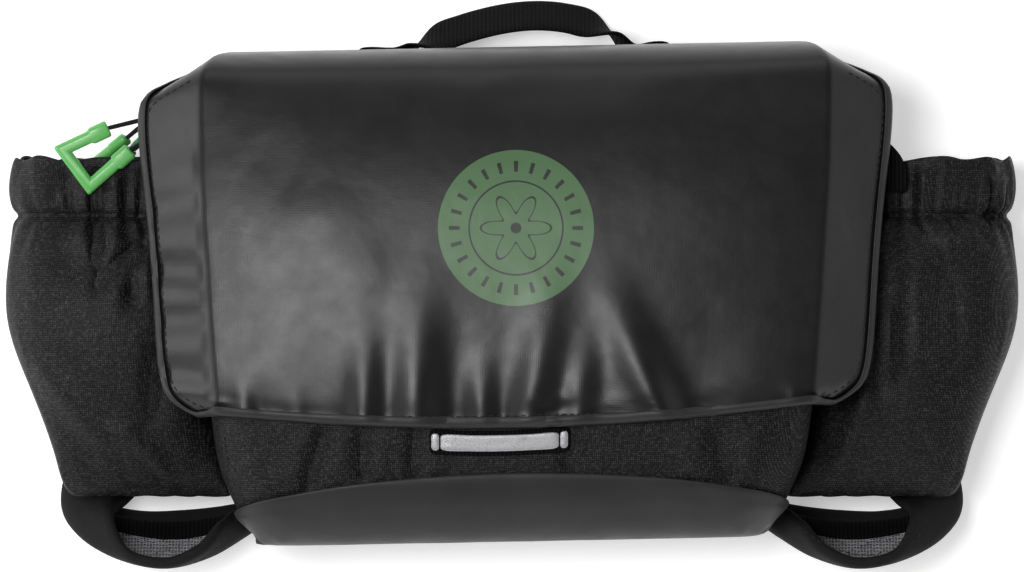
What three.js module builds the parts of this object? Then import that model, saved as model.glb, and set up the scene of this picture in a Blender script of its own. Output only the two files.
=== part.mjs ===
// A cyclist's bum bag lying on its back, in millimetres: X across, Y towards the bag's top, Z up from
// the floor. A zipped main compartment under a wide coated flap, a bottle pocket on each side with a
// gathered mouth, a carry handle, a light loop, moulded zip pulls, and two padded hip wings joined by a
// buckled belt.
import * as THREE from "three";

// Driving sizes of the main compartment.
const bodyWidth = 260; // across the compartment at its widest
const bodyHeight = 190; // from the base to the mouth
const bodyDepth = 84; // from the back wall to the front at its fullest
const bodyWall = 1.8;
const bodyCrown = 5; // how much higher the front is at its middle than at its sides
const baseLevel = -101; // Y of the compartment's base
const bagSkew = 3; // how much higher the bag's right end sits than its middle
const sewnGap = 0.4; // between cloth layers that are sewn together
const frontCorner = 24; // radius between the front and the sides
const backCorner = 9;
const bodyMeeting = 0.04; // share of the height below which the sides round into the base

// Back panel: the pad that lies on the floor.
const backPanelThickness = 7.6;
const backPanelInset = 1.5; // from the compartment's side to the panel's
const backPanelRise = 3.3; // from the compartment's mouth to the panel's top
const backPanelCorner = 22;
const backPanelBevel = 2;
const backPanelStart = 0.145; // share of the compartment's height where the panel begins

// Base panel: the coated cloth that wraps the bottom.
const baseWall = 1.4;
const baseGap = 0.7; // between it and the compartment's wall
const basePanelRise = 25; // how far its front edge rises above the base at the middle
const basePanelFall = 11; // how far it rises at the ends and the back
const basePanelFold = 0.05; // shares of the compartment's height at which the panel turns in
const basePanelTurn = 0.015;

// Flap.
const flapOverhang = 23.4; // from the compartment's side to the flap's edge
const flapShift = 1.4; // how far the flap sits right of the compartment's middle
const hemBow = 7; // how much higher the hem is at the creases than in the middle
const bowLift = 0.12; // how far the bowed hem stands out, as a share of its bow
const flapThickness = 1.6;
const flapStandoff = 4.4; // from the compartment's front to the middle of the flap's cloth
const flapHemRise = 46.6; // from the compartment's base to the hem
const flapTopRise = 10.5; // from the compartment's mouth to the flap's top
const flapCrown = 7; // how far the front drops from its middle to the creases
const earDrop = 20; // how far the ears beside the creases drop towards the floor
const flapSeam = 0.2; // share of the flap's rows that cover the top
const bindingLip = 2.5;
const bindingWall = 0.8;
const bindingGap = 0.9;

// Bottle pockets.
const pocketWidth = 79; // from the compartment's side to the pocket's outer side at its fullest
const pocketWall = 1.6;
const pocketRimDrop = 36; // from the compartment's mouth to the pocket's
const pocketBottomRise = 18; // from the compartment's base to the pocket's bottom
const pocketDepth = 62; // height of their front above the floor at their fullest
const pocketBodyGap = 0.8;
const pocketRoundness = 0.84; // 1 for an ellipse, less for a squarer section
const ruffleHeight = 1.43; // height of the gathers along the mouth
const ruffleCount = 9;
const broadRuffleCount = 5; // of the broader gathers under them, half as high
const ruffleSway = 0.35; // share of a gather's height that also moves its cloth sideways
const ruffleLift = 0.6; // share of it that lifts the rim

// Carry handle, of flat webbing.
const handleWidth = 22;
const handleThickness = 1.6;
const handleRise = 15; // of its middle line above the flap's top
const handleSpan = 96;
const handleFoot = 15;
const handleCentre = 1; // X of the middle between its feet
const handleLean = 29; // degrees by which the arch leans back
const handleGap = 0.35;
const handleLevel = 14; // height of its middle line above the floor
const handleSkew = 1.3; // over 1, its highest place lies right of the middle
const handleFullness = 0.7; // under 1, its shoulders are full
const handleSteps = 20;

// Light loop with its reflective stripe.
const lightLoopLength = 55;
const lightLoopHeight = 9;
const lightLoopThickness = 1.2;
const lightLoopCentre = -5; // X of its middle
const lightLoopDrop = 7; // from the flap's hem to the loop's middle
const lightLoopSag = 1.1;
const loopStep = 8; // length of its facets
const stripeHeight = 5.8;
const stripeThickness = 0.5;
const stripeTack = 2.4; // bare webbing under the bar tack at each end
const stripeEnd = 2.2; // length of the stripe's piece beyond the tack

// Zip sliders, pulls and their cords.
const pullBar = 4.2; // width of the moulded bar
const pullEnd = 6; // width of the thicker block at the end of each arm
const pullEndLength = 7;
const pullThickness = 3.2;
const pullShoulder = 0.04; // share of an arm over which its block narrows to the bar
const pullBevel = 0.9;
const cordDiameter = 1.8;
const cordBend = 1.6; // radius of the cord's bend at the slider
const sleeveStart = 1.5; // from the cord's end to the sleeve
const sleeveLength = 8;
const sleeveWall = 0.5;
const sliderSize = new THREE.Vector3(5, 10, 6);

// Hip wings and belt.
const wingThickness = 3;
const wingClearance = 24.5; // how far short of the pocket's outer side the wing stays
const wingOverhang = 15; // how far the wing hangs below the compartment's base
const wingHeight = 51;
const wingBead = 1.2; // how much thicker the bound edges are
const wingRows = 25;
const wingColumns = 8;
const linerThickness = 0.8;
const layerGap = 0.35;
const strapWidth = 25;
const strapThickness = 1.8;
const buckleCentre = [-89.5, 14.8]; // Y and Z of the buckle's middle
const tabWidth = 9;
const beltGap = 2.2; // between a wing's tip and the belt
const beltInset = 0.06; // from the wing's edges to the belt's, as a share of the wing's width at its tip
const strapLean = 50; // degrees between the belt and the floor at the buckle
const buckleLength = 58;
const buckleHeight = 31;
const buckleThickness = 8;
const buckleCorner = 6;
const buckleBevel = 2;

// Derived places.
const backWallZ = backPanelThickness + sewnGap;
const halfBody = bodyWidth / 2;
const halfFlap = halfBody + flapOverhang;
const mouthLevel = baseLevel + bodyHeight;
const flapHemLevel = baseLevel + flapHemRise;
const flapTopLevel = mouthLevel + flapTopRise;
const pocketReach = halfBody + pocketWidth;
const pocketRimLevel = mouthLevel - pocketRimDrop;
const pocketBottomLevel = baseLevel + pocketBottomRise;
const lightLoopLevel = flapHemLevel - lightLoopDrop;
const backPanelHigh = mouthLevel + backPanelRise;
const wingReach = pocketReach - wingClearance;
const wingDrop = wingOverhang - baseLevel;
const levelAt = (share) => baseLevel + share * bodyHeight;

// Main compartment, from the base up. Level: share of the height. Half: share of half the width.
// Back and front: shares of the depth, from the back wall.
const bodySections = [
  { level: 0.0, half: 0.72, back: 0.42, front: 0.68 },
  { level: 0.015, half: 0.79, back: 0.36, front: 0.79 },
  { level: 0.05, half: 0.85, back: 0.28, front: 0.9 },
  { level: 0.1, half: 0.89, back: 0.13, front: 0.97 },
  { level: 0.15, half: 0.92, back: 0.02, front: 0.99 },
  { level: 0.24, half: 0.945, back: 0.0, front: 1.01 },
  { level: 0.42, half: 0.97, back: 0.0, front: 1.02 },
  { level: 0.6, half: 0.985, back: 0.0, front: 0.98 },
  { level: 0.78, half: 1.0, back: 0.0, front: 0.9 },
  { level: 0.92, half: 1.0, back: 0.0, front: 0.78 },
  { level: 1.0, half: 0.98, back: 0.0, front: 0.7 },
];

// Flap, from its seam at the back over the top to the hem. Y: share of the way from the hem to the top.
// Z: share of the compartment's depth above the back wall, under the flap's standoff. Half and crease:
// shares of half the flap's width. Ear_y and ear_z: shares of the ears' drop taken down the bag and
// towards the floor.
const flapSections = [
  { y: 0.962, z: -0.096, half: 0.78, crease: 0.7, ear_y: 0.1, ear_z: 0.0 },
  { y: 0.985, z: 0.052, half: 0.81, crease: 0.72, ear_y: 0.25, ear_z: 0.0 },
  { y: 1.0, z: 0.252, half: 0.85, crease: 0.745, ear_y: 0.45, ear_z: 0.0 },
  { y: 1.0, z: 0.462, half: 0.9, crease: 0.78, ear_y: 0.6, ear_z: 0.25 },
  { y: 0.986, z: 0.632, half: 0.95, crease: 0.81, ear_y: 0.66, ear_z: 0.5 },
  { y: 0.948, z: 0.752, half: 0.99, crease: 0.835, ear_y: 0.55, ear_z: 0.72 },
  { y: 0.88, z: 0.827, half: 1.0, crease: 0.84, ear_y: 0.36, ear_z: 0.88 },
  { y: 0.76, z: 0.897, half: 0.995, crease: 0.84, ear_y: 0.16, ear_z: 0.96 },
  { y: 0.61, z: 0.952, half: 0.98, crease: 0.835, ear_y: 0.0, ear_z: 1.0 },
  { y: 0.45, z: 0.982, half: 0.965, crease: 0.825, ear_y: 0.0, ear_z: 1.0 },
  { y: 0.29, z: 1.002, half: 0.955, crease: 0.815, ear_y: 0.0, ear_z: 1.0 },
  { y: 0.15, z: 1.012, half: 0.945, crease: 0.805, ear_y: 0.0, ear_z: 0.95 },
  { y: 0.075, z: 1.012, half: 0.93, crease: 0.8, ear_y: 0.0, ear_z: 0.9 },
  { y: 0.03, z: 1.007, half: 0.895, crease: 0.795, ear_y: 0.0, ear_z: 0.85 },
  { y: 0.0, z: 1.002, half: 0.845, crease: 0.78, ear_y: 0.0, ear_z: 0.75 },
];

// Soft folds that run up from the hem. X: share of half the flap's width. Width and depth in
// millimetres. Rise: share of the front's height that the fold reaches.
const flapFolds = [
  { x: -0.57, width: 9, depth: -1.1, rise: 0.3 },
  { x: -0.36, width: 8, depth: 1.3, rise: 0.3 },
  { x: -0.22, width: 7, depth: -1.2, rise: 0.42 },
  { x: -0.04, width: 11, depth: -1.2, rise: 0.5 },
  { x: 0.09, width: 9, depth: 1.5, rise: 0.5 },
  { x: 0.22, width: 10, depth: -1.2, rise: 0.62 },
  { x: 0.34, width: 10, depth: 1.6, rise: 0.62 },
  { x: 0.52, width: 12, depth: -1.1, rise: 0.5 },
];

// Bottle pocket, from the mouth down. Y: share of the way from the bottom to the mouth. Out: share of
// the reach. Low and high: shares of the pocket's depth above the floor. Gather: share of the ruffles'
// height.
const pocketSections = [
  { y: 1.0, out: 0.985, low: 0.15, high: 0.82, gather: 1.0 },
  { y: 0.93, out: 0.992, low: 0.155, high: 0.8, gather: 0.85 },
  { y: 0.87, out: 0.986, low: 0.17, high: 0.79, gather: 0.6 },
  { y: 0.84, out: 0.978, low: 0.18, high: 0.78, gather: 0.5 },
  { y: 0.8, out: 0.985, low: 0.17, high: 0.82, gather: 0.55 },
  { y: 0.7, out: 0.994, low: 0.15, high: 0.91, gather: 0.35 },
  { y: 0.55, out: 1.0, low: 0.14, high: 0.98, gather: 0.15 },
  { y: 0.42, out: 0.976, low: 0.15, high: 0.97, gather: 0.05 },
  { y: 0.25, out: 0.936, low: 0.2, high: 0.9, gather: 0.0 },
  { y: 0.1, out: 0.9, low: 0.32, high: 0.78, gather: 0.0 },
  { y: 0.0, out: 0.876, low: 0.44, high: 0.64, gather: 0.0 },
];

// Hip wing, from its root beside the back panel to its tip: the bound edge near the floor, the middle and
// the upper bound edge. Each holds three shares: of the wing's reach out along X, of its drop along -Y
// and of its height.
const wingGuides = [
  { edge: [0.702, 0.190, 0.071], middle: [0.702, 0.397, 0.071], rim: [0.702, 0.603, 0.071] },
  { edge: [0.830, 0.230, 0.071], middle: [0.840, 0.450, 0.086], rim: [0.802, 0.660, 0.137] },
  { edge: [0.938, 0.420, 0.063], middle: [0.954, 0.600, 0.216], rim: [0.865, 0.750, 0.373] },
  { edge: [0.965, 0.660, 0.055], middle: [1.000, 0.765, 0.382], rim: [0.897, 0.793, 0.745] },
  { edge: [0.915, 0.765, 0.047], middle: [0.960, 0.870, 0.500], rim: [0.880, 0.884, 0.902] },
  { edge: [0.835, 0.800, 0.047], middle: [0.873, 0.930, 0.549], rim: [0.838, 0.948, 0.980] },
  { edge: [0.740, 0.798, 0.047], middle: [0.765, 0.955, 0.529], rim: [0.762, 0.962, 1.000] },
  { edge: [0.660, 0.785, 0.047], middle: [0.668, 0.925, 0.510], rim: [0.692, 0.908, 0.980] },
  { edge: [0.604, 0.768, 0.051], middle: [0.598, 0.866, 0.471], rim: [0.652, 0.828, 0.843] },
  { edge: [0.575, 0.752, 0.063], middle: [0.555, 0.816, 0.353], rim: [0.620, 0.790, 0.529] },
];

// Reads one column of a table as a smooth curve, at a place from 0, its first row, to 1, its last.
function column(table, key, place) {
  const last = table.length - 1;
  const at = Math.min(Math.max(place, 0), 1) * last;
  const i = Math.min(Math.floor(at), last - 1);
  const t = at - i;
  const value = (k) => table[Math.min(Math.max(k, 0), last)][key];
  const slope = (k) => (value(k + 1) - value(k - 1)) / (k === 0 || k === last ? 1 : 2);
  const t2 = t * t;
  const t3 = t2 * t;
  return (
    (2 * t3 - 3 * t2 + 1) * value(i) +
    (t3 - 2 * t2 + t) * slope(i) +
    (3 * t2 - 2 * t3) * value(i + 1) +
    (t3 - t2) * slope(i + 1)
  );
}

// A place in a table whose key column goes steadily up or down, found by halving.
function placeOf(table, key, wanted) {
  let low = 0;
  let high = 1;
  const rising = table[table.length - 1][key] > table[0][key];
  for (let i = 0; i < 40; i++) {
    const middle = (low + high) / 2;
    if (column(table, key, middle) < wanted === rising) low = middle;
    else high = middle;
  }
  return (low + high) / 2;
}

const smooth = (from, to, x) => THREE.MathUtils.smoothstep(x, from, to);

// Numbers at even steps from one to another.
const between = (from, to, count) =>
  Array.from({ length: count }, (_, i) => from + ((to - from) * i) / (count - 1));

// A closed solid from points and triangles, turned so that its faces point out.
function solid(points, faces) {
  let volume = 0;
  for (const [a, b, c] of faces) volume += points[a].dot(points[b].clone().cross(points[c]));
  const turned = volume < 0 ? faces.map(([a, b, c]) => [a, c, b]) : faces;
  const geometry = new THREE.BufferGeometry();
  const places = points.flatMap((p) => p.toArray());
  geometry.setAttribute("position", new THREE.Float32BufferAttribute(places, 3));
  geometry.setIndex(turned.flat());
  geometry.computeVertexNormals();
  return geometry;
}

// A solid through closed rings of points, all of one length. Without an outline its ends close on their
// middles.
function loft(rings, outline) {
  const n = rings[0].length;
  const points = rings.flat();
  const faces = [];
  for (let r = 0; r + 1 < rings.length; r++)
    for (let k = 0; k < n; k++) {
      const [a, b] = [r * n + k, r * n + ((k + 1) % n)];
      faces.push([a, b, a + n], [b, b + n, a + n]);
    }
  const lastStart = (rings.length - 1) * n;
  if (outline) {
    const turn = Math.sign(THREE.ShapeUtils.area(outline));
    for (const cut of THREE.ShapeUtils.triangulateShape(outline, [])) {
      const same = Math.sign(THREE.ShapeUtils.area(cut.map((k) => outline[k]))) === turn;
      const [a, b, c] = same ? cut : cut.slice().reverse();
      faces.push([c, b, a], [lastStart + a, lastStart + b, lastStart + c]);
    }
    return solid(points, faces);
  }
  [rings[0], rings[rings.length - 1]].forEach((ring, end) => {
    const centre = points.push(middleOf(ring)) - 1;
    const start = end ? lastStart : 0;
    for (let k = 0; k < n; k++) {
      const [a, b] = [start + k, start + ((k + 1) % n)];
      faces.push(end ? [a, b, centre] : [b, a, centre]);
    }
  });
  return solid(points, faces);
}

function middleOf(points) {
  const sum = points.reduce((s, p) => s.add(p), new THREE.Vector3());
  return sum.divideScalar(points.length);
}

// Unit normals of a grid of points.
function normalsOf(grid) {
  const rows = grid.length - 1;
  const cols = grid[0].length - 1;
  return grid.map((row, i) =>
    row.map((_, j) => {
      const along = grid[Math.min(i + 1, rows)][j].clone().sub(grid[Math.max(i - 1, 0)][j]);
      const across = grid[i][Math.min(j + 1, cols)].clone().sub(grid[i][Math.max(j - 1, 0)]);
      return along.cross(across).normalize();
    }),
  );
}

// A grid of points moved along its normals.
const offsetGrid = (grid, by) => {
  const normals = normalsOf(grid);
  return grid.map((row, i) => row.map((p, j) => p.clone().addScaledVector(normals[i][j], by)));
};

// A sheet of cloth as a solid: a grid of points with a thickness.
const sheet = (grid, thickness) =>
  slab(offsetGrid(grid, thickness / 2), offsetGrid(grid, -thickness / 2));

// A solid between two grids of points.
function slab(upper, lower) {
  const rows = upper.length;
  const cols = upper[0].length;
  const points = [...upper.flat(), ...lower.flat()];
  const under = rows * cols;
  const faces = [];
  const quad = (a, b, c, d) => faces.push([a, b, c], [a, c, d]);
  for (let i = 0; i + 1 < rows; i++)
    for (let j = 0; j + 1 < cols; j++) {
      const a = i * cols + j;
      quad(a, a + 1, a + cols + 1, a + cols);
      quad(under + a, under + a + cols, under + a + cols + 1, under + a + 1);
    }
  const edge = (a, b) => quad(a, under + a, under + b, b);
  for (let j = 0; j + 1 < cols; j++) {
    edge(j, j + 1);
    edge((rows - 1) * cols + j + 1, (rows - 1) * cols + j);
  }
  for (let i = 0; i + 1 < rows; i++) {
    edge((i + 1) * cols, i * cols);
    edge(i * cols + cols - 1, (i + 1) * cols + cols - 1);
  }
  return solid(points, faces);
}

// The bag lies a little askew: its right end is higher than its left.
const skewed = (x, y) => y + (bagSkew * x) / halfFlap;
const bodyShareAt = (y) => (y - baseLevel) / bodyHeight;
const bodyPlaceAt = (share) => placeOf(bodySections, "level", share);

// Half the compartment's width and its front, outside, at a level.
const bodyHalfAt = (y) => halfBody * column(bodySections, "half", bodyPlaceAt(bodyShareAt(y)));
const bodySideAt = (side, y) =>
  bodyHalfAt(Math.max(y - skewed(side * halfBody, 0), levelAt(bodyMeeting)));
function bodyFrontAt(x, y) {
  const front = backWallZ + bodyDepth * column(bodySections, "front", bodyPlaceAt(bodyShareAt(y)));
  return front - bodyCrown * (x / bodyHalfAt(y)) ** 2;
}

// One ring of the compartment's wall, moved outwards by grow: flat at the back, crowned at the front.
function bodyRing(share, grow) {
  const place = bodyPlaceAt(share);
  const half = halfBody * column(bodySections, "half", place) + grow;
  const low = backWallZ + bodyDepth * column(bodySections, "back", place) - grow;
  const high = backWallZ + bodyDepth * column(bodySections, "front", place) + grow;
  const rf = Math.min(frontCorner + grow, 0.45 * (high - low));
  const rb = Math.min(backCorner + grow, 0.4 * (high - low));
  const y = levelAt(share) - grow * (1 - smooth(0, 0.1, share));
  const outline = [];
  const line = (x0, z0, x1, z1, steps) => {
    for (let i = 0; i < steps; i++) {
      const t = i / steps;
      outline.push([x0 + (x1 - x0) * t, z0 + (z1 - z0) * t]);
    }
  };
  const arc = (x, z, r, from, steps) => {
    for (let i = 0; i < steps; i++) {
      const angle = from + ((Math.PI / 2) * i) / steps;
      outline.push([x + r * Math.cos(angle), z + r * Math.sin(angle)]);
    }
  };
  line(rb - half, low, half - rb, low, 4);
  arc(half - rb, low + rb, rb, -Math.PI / 2, 3);
  line(half, low + rb, half, high - rf, 3);
  arc(half - rf, high - rf, rf, 0, 4);
  line(half - rf, high, rf - half, high, 9);
  arc(rf - half, high - rf, rf, Math.PI / 2, 4);
  line(-half, high - rf, -half, low + rb, 3);
  arc(rb - half, low + rb, rb, Math.PI, 3);
  return outline.map(([x, z]) => {
    const crowned = z - bodyCrown * (x / half) ** 2 * ((z - low) / (high - low));
    return new THREE.Vector3(x, skewed(x, y), crowned);
  });
}

// The main compartment: a hollow cup with its mouth at the top.
function compartment() {
  const shares = [0, 0.015, 0.05, 0.1, 0.16, 0.26, 0.42, 0.6, 0.78, 0.9, 1];
  const outside = shares.map((share) => bodyRing(share, 0));
  const inside = shares.map((share) => bodyRing(share, -bodyWall));
  return loft([...inside, ...outside.reverse()]);
}

// The coated panel round the base, with an arched upper edge on the front.
function basePanel() {
  const ringCount = bodyRing(0, 0).length;
  const edge = [];
  for (let k = 0; k < ringCount; k++) {
    const p = bodyRing(0.1, 0)[k];
    const across = (p.x / halfBody) ** 2;
    const front = smooth(backWallZ + 0.5 * bodyDepth, backWallZ + 0.9 * bodyDepth, p.z);
    edge.push((basePanelFall + (basePanelRise - basePanelFall) * (1 - across) * front) / bodyHeight);
  }
  const ring = (pick, grow) => edge.map((share, k) => bodyRing(pick(share), grow)[k]);
  const picks = [
    (share) => share,
    (share) => (share + basePanelFold) / 2,
    () => basePanelFold,
    () => basePanelTurn,
    () => 0,
  ];
  const inside = picks.map((pick) => ring(pick, baseGap)).reverse();
  const outside = picks.map((pick) => ring(pick, baseGap + baseWall));
  return loft([...inside, ...outside]);
}

// A rounded rectangle in the XY plane, as one ring of points.
function roundedRing(halfWidth, low, high, radius, z, steps) {
  const points = [];
  const corner = (x, y, from) => {
    for (let i = 0; i <= steps; i++) {
      const angle = from + ((Math.PI / 2) * i) / steps;
      points.push(new THREE.Vector3(x + radius * Math.cos(angle), y + radius * Math.sin(angle), z));
    }
  };
  corner(halfWidth - radius, high - radius, 0);
  corner(radius - halfWidth, high - radius, Math.PI / 2);
  corner(radius - halfWidth, low + radius, Math.PI);
  corner(halfWidth - radius, low + radius, -Math.PI / 2);
  return points;
}

// The pad on the back, on which the bag lies.
function backPanel() {
  const ring = (z, inset) =>
    roundedRing(
      halfBody - backPanelInset - inset,
      levelAt(backPanelStart) + inset,
      backPanelHigh - inset,
      backPanelCorner - inset,
      z,
      5,
    ).map((p) => p.setY(skewed(p.x, p.y)));
  return loft([
    ring(0, backPanelBevel),
    ring(backPanelBevel, 0),
    ring(backPanelThickness - backPanelBevel, 0),
    ring(backPanelThickness, backPanelBevel),
  ]);
}

// A point of the flap's middle surface: place from its seam, 0, to its hem, 1, and X as a share of the
// width there, with the creases at plus and minus one half and the edges at plus and minus one.
function flapPoint(place, across) {
  const at = (key) => column(flapSections, key, place);
  const half = halfFlap * at("half");
  const crease = halfFlap * at("crease");
  const side = Math.abs(across);
  const ear = Math.max(0, side - 0.5) * 2;
  const x = Math.sign(across) * (side <= 0.5 ? side * 2 * crease : crease + ear * (half - crease));
  const level = flapHemLevel + (flapTopLevel - flapHemLevel) * at("y");
  const up = backWallZ + bodyDepth * at("z") + flapStandoff;
  const front = smooth(0.3, 0.55, place);
  const drop = flapCrown * Math.min(1, Math.abs(x) / crease) ** 3 * front;
  let fold = 0;
  for (const f of flapFolds) {
    const near = Math.exp(-(((x - f.x * halfFlap) / f.width) ** 2));
    const low = 1 - smooth(0, f.rise, at("y"));
    fold += f.depth * near * low * smooth(0.5, 0.8, place);
  }
  const bow = hemBow * Math.min(1, Math.abs(x) / crease) ** 2 * smooth(0.6, 1, place);
  const y = skewed(x, level + bow - earDrop * at("ear_y") * ear);
  const z = up - drop - earDrop * at("ear_z") * ear + fold + bow * bowLift;
  return new THREE.Vector3(x + flapShift, y, z);
}

// The flap's rows, closest where it turns from the top to the front, and its columns.
const topRows = [0, 0.05, 0.11, 0.17, 0.22, 0.26, 0.295, 0.33, 0.37];
const frontRows = [0.43, 0.5, 0.57, 0.64, 0.71, 0.78, 0.85, 0.9, 0.95, 1];
const flapRows = [...topRows, ...frontRows];
const flapColumns = (() => {
  const middle = Array.from({ length: 17 }, (_, k) => -0.5 + k / 16);
  return [-1, -0.84, -0.67, ...middle, 0.67, 0.84, 1];
})();
const flapGrid = flapRows.map((place) => flapColumns.map((across) => flapPoint(place, across)));

// The tape that binds the flap's edge: a channel swept down one side, along the hem and up the other.
function flapBinding() {
  const last = flapGrid.length - 1;
  const end = flapColumns.length - 1;
  const normals = normalsOf(flapGrid);
  const firstRow = 3;
  const path = [];
  const add = (i, j, inI, inJ) => {
    const inward = flapGrid[inI][inJ].clone().sub(flapGrid[i][j]).normalize();
    path.push({ point: flapGrid[i][j], inward, normal: normals[i][j] });
  };
  for (let i = firstRow; i < last; i++) add(i, 0, i, 1);
  add(last, 0, last - 1, 1);
  for (let j = 1; j < end; j++) add(last, j, last - 1, j);
  add(last, end, last - 1, end - 1);
  for (let i = last - 1; i >= firstRow; i--) add(i, end, i, end - 1);
  const slot = flapThickness / 2 + bindingGap;
  const skin = slot + bindingWall;
  const nose = bindingGap + bindingWall;
  const section = [
    [bindingLip, slot],
    [bindingLip, skin],
    [0, skin],
    [-nose, 0.4 * skin],
    [-nose, -0.4 * skin],
    [0, -skin],
    [bindingLip, -skin],
    [bindingLip, -slot],
    [-bindingGap, -slot],
    [-bindingGap, slot],
  ].map(([inward, up]) => new THREE.Vector2(inward, up));
  const rings = path.map(({ point, inward, normal }) => {
    const up = normal.clone().addScaledVector(inward, -inward.dot(normal)).normalize();
    return section.map((s) => point.clone().addScaledVector(inward, s.x).addScaledVector(up, s.y));
  });
  return loft(rings, section);
}

// One ring of a bottle pocket: place from the mouth, 0, to the bottom, 1, moved in by inset.
function pocketRing(place, inset, side) {
  const at = (key) => column(pocketSections, key, place);
  const level = pocketBottomLevel + (pocketRimLevel - pocketBottomLevel) * at("y");
  const outer = pocketReach * at("out") - inset;
  const inner = bodySideAt(side, level) + pocketBodyGap + inset;
  const low = pocketDepth * at("low") + inset;
  const high = pocketDepth * at("high") - inset;
  const points = [];
  const steps = 32;
  for (let k = 0; k < steps; k++) {
    const angle = (2 * Math.PI * k) / steps;
    const rounded = (v) => Math.sign(v) * Math.abs(v) ** pocketRoundness;
    const free = smooth(-0.9, -0.2, Math.cos(angle));
    const fine = Math.sin(ruffleCount * angle + (side > 0 ? 1.1 : 0.2));
    const broad = Math.sin(broadRuffleCount * angle + 2.2 * side) / 2;
    const gather = ruffleHeight * at("gather") * (fine + broad) * free;
    const reach = (outer - inner) / 2 + ruffleSway * gather;
    const x = (inner + outer) / 2 + reach * rounded(Math.cos(angle));
    const z = (low + high) / 2 + ((high - low) / 2 + gather) * rounded(Math.sin(angle));
    const lift = ruffleLift * gather * smooth(0.8, 1, at("y"));
    points.push(new THREE.Vector3(side * x, level + lift, z));
  }
  return points;
}

// A bottle pocket: a cup with a gathered mouth.
function pocket(side) {
  const places = [0, 0.1, 0.2, 0.28, 0.36, 0.48, 0.62, 0.76, 0.88, 1];
  const bottomInset = pocketWall / (pocketRimLevel - pocketBottomLevel);
  const outside = places.map((place) => pocketRing(place, 0, side));
  const inside = places.map((place) => pocketRing(place * (1 - bottomInset), pocketWall, side));
  return loft([...inside.reverse(), ...outside]);
}

// A strip along stations, each a middle point with the direction of the strip's width.
function strip(stations, width, thickness) {
  const grid = stations.map(({ middle, across }) =>
    [-0.5, 0, 0.5].map((share) => middle.clone().addScaledVector(across, share * width)),
  );
  return sheet(grid, thickness);
}

// The middle of the flap's cloth where it covers the top, at an X and a height.
function flapTopAt(x, z) {
  let [low, high] = [0, flapSeam];
  for (let i = 0; i < 30; i++) {
    const place = (low + high) / 2;
    if (flapPoint(place, 0).z < z) low = place;
    else high = place;
  }
  return skewed(x, flapPoint(low, 0).y);
}

// The carry handle: flat feet on the flap's top and an arch that leans back between them.
function handle() {
  const lean = THREE.MathUtils.degToRad(handleLean);
  const fall =
    flapTopAt(0, handleLevel - handleWidth / 2) - flapTopAt(0, handleLevel + handleWidth / 2);
  const slope = Math.atan2(fall, handleWidth);
  const lift = flapThickness / 2 + handleGap + handleThickness / 2;
  const height = (share) => {
    const arch = Math.sin(Math.PI * share ** handleSkew);
    return handleRise * Math.max(0, arch) ** handleFullness;
  };
  const point = (share) => {
    const x = handleCentre + handleSpan * (share - 0.5);
    const inside = Math.min(Math.max(share, 0), 1);
    return new THREE.Vector3(x, flapTopAt(x, handleLevel) + lift + height(inside), handleLevel);
  };
  const foot = handleFoot / handleSpan;
  const arch = between(0, 1, handleSteps + 1);
  const shares = [-foot, -foot / 2, ...arch, 1 + foot / 2, 1 + foot];
  const step = 0.01;
  const stations = shares.map((share) => {
    const along = point(share + step).sub(point(share - step)).normalize();
    const out = new THREE.Vector3(-along.y, along.x, 0);
    const raised = smooth(0.02, 0.2, share) * (1 - smooth(0.8, 0.98, share));
    const angle = slope + (lean - slope) * raised;
    const across = new THREE.Vector3(0, 0, Math.cos(angle)).addScaledVector(out, -Math.sin(angle));
    return { middle: point(share), across };
  });
  return strip(stations, handleWidth, handleThickness);
}

// A grid over the compartment's front: from one X to another about a level, sagging at the middle of
// the loop.
function loopGrid(fromX, toX, height, lift) {
  const rows = 1 + Math.ceil((toX - fromX) / loopStep);
  return Array.from({ length: rows }, (_, i) => {
    const x = fromX + ((toX - fromX) * i) / (rows - 1);
    const share = (x - lightLoopCentre) / (lightLoopLength / 2);
    const level = lightLoopLevel - lightLoopSag * (1 - share ** 2);
    return [0.5, 0, -0.5].map((v) => {
      const y = level + v * height;
      return new THREE.Vector3(x, skewed(x, y), bodyFrontAt(x, y) + lift);
    });
  });
}

const loopStart = lightLoopCentre - lightLoopLength / 2;
const loopEnd = lightLoopCentre + lightLoopLength / 2;
const loopLift = layerGap + lightLoopThickness / 2;
const stripeLift = 2 * layerGap + lightLoopThickness + stripeThickness / 2;
const stripe = (fromX, toX) =>
  sheet(loopGrid(fromX, toX, stripeHeight, stripeLift), stripeThickness);

// A bar swept along points, with its own width at each, flat along the direction up and mitred at its
// corners.
function bar(points, widths, thickness, bevel, up) {
  const rings = points.map((point, i) => {
    const to = (k) => points[k + 1].clone().sub(points[k]).normalize();
    const [before, after] = [to(Math.max(i - 1, 0)), to(Math.min(i, points.length - 2))];
    const along = before.clone().add(after).normalize();
    const side = up.clone().cross(along).normalize().divideScalar(along.dot(before));
    const [w, t] = [widths[i] / 2, thickness / 2];
    return [
      [w, t - bevel],
      [w - bevel, t],
      [bevel - w, t],
      [-w, t - bevel],
      [-w, bevel - t],
      [bevel - w, -t],
      [w - bevel, -t],
      [w, bevel - t],
    ].map(([u, v]) => point.clone().addScaledVector(side, u).addScaledVector(up, v));
  });
  return loft(rings);
}

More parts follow.
